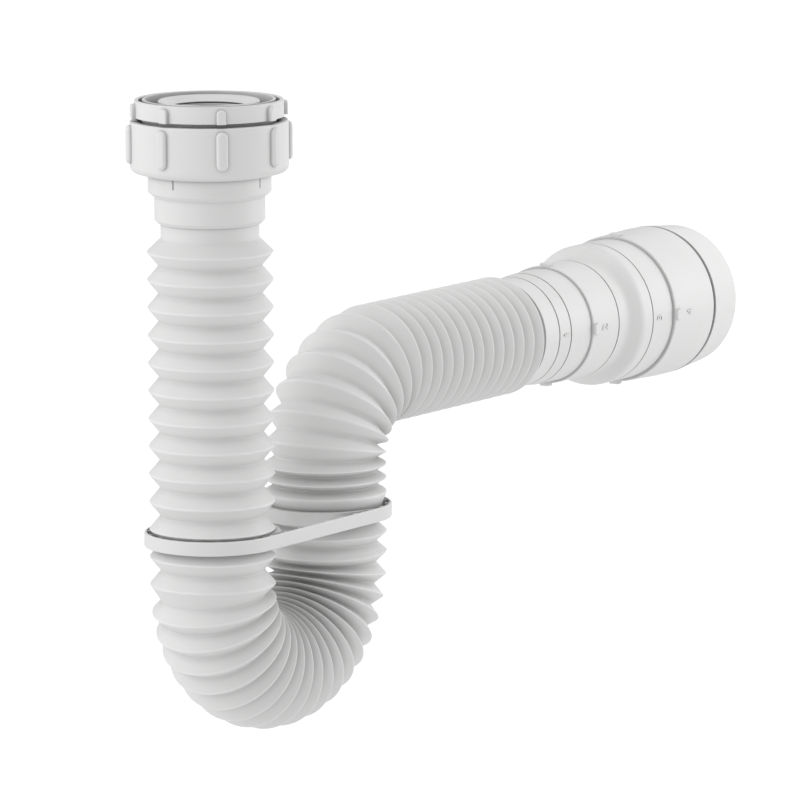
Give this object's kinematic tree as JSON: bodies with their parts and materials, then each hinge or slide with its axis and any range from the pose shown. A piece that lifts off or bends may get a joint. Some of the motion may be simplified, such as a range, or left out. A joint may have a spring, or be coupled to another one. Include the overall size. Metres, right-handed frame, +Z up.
{
  "type": "extendable washbasin trap",
  "caption": "Extendable bellows trap with a ribbed inlet union, a U bend held by a belt strap, and a stepped push-in outlet.",
  "frame": {"origin": "centre of the coupling ring's top rim, where the basin waste screws in", "axes": "+Z up along the inlet axis, +X along the outlet towards its open end"},
  "size_m": [0.3041, 0.053, 0.2068],
  "materials": {
    "fitting": "satin moulded polypropylene",
    "strap": "satin moulded polypropylene",
    "hose": "satin blow-moulded polypropylene",
    "seal": "matt rubber"
  },
  "bodies": {
    "coupling": {"coupling_ring": "fitting", "inlet_seal": "seal"},
    "nut": {"union_nut": "fitting"},
    "inlet": {"inlet_sleeve": "fitting", "union_seal": "seal"},
    "trap_bend": {"bellows_hose": "hose", "retaining_strap": "strap"},
    "outlet": {"outlet_connector": "fitting"}
  },
  "joints": [
    {"name": "nut_turn", "type": "hinge", "parent": "coupling", "child": "nut", "pos_m": [0, 0, -0.015], "axis": [0, 0, 1], "continuous": true},
    {"name": "inlet_swivel", "type": "hinge", "parent": "coupling", "child": "inlet", "pos_m": [0, 0, -0.018], "axis": [0, 0, 1], "continuous": true},
    {"name": "leg_extension", "type": "slide", "parent": "inlet", "child": "trap_bend", "axis": [0, 0, -1], "range_m": [-0.035, 0.012], "deforming": ["bellows_hose"]},
    {"name": "outlet_extension", "type": "slide", "parent": "trap_bend", "child": "outlet", "axis": [1, 0, 0], "range_m": [-0.012, 0.03], "deforming": ["bellows_hose"]}
  ]
}
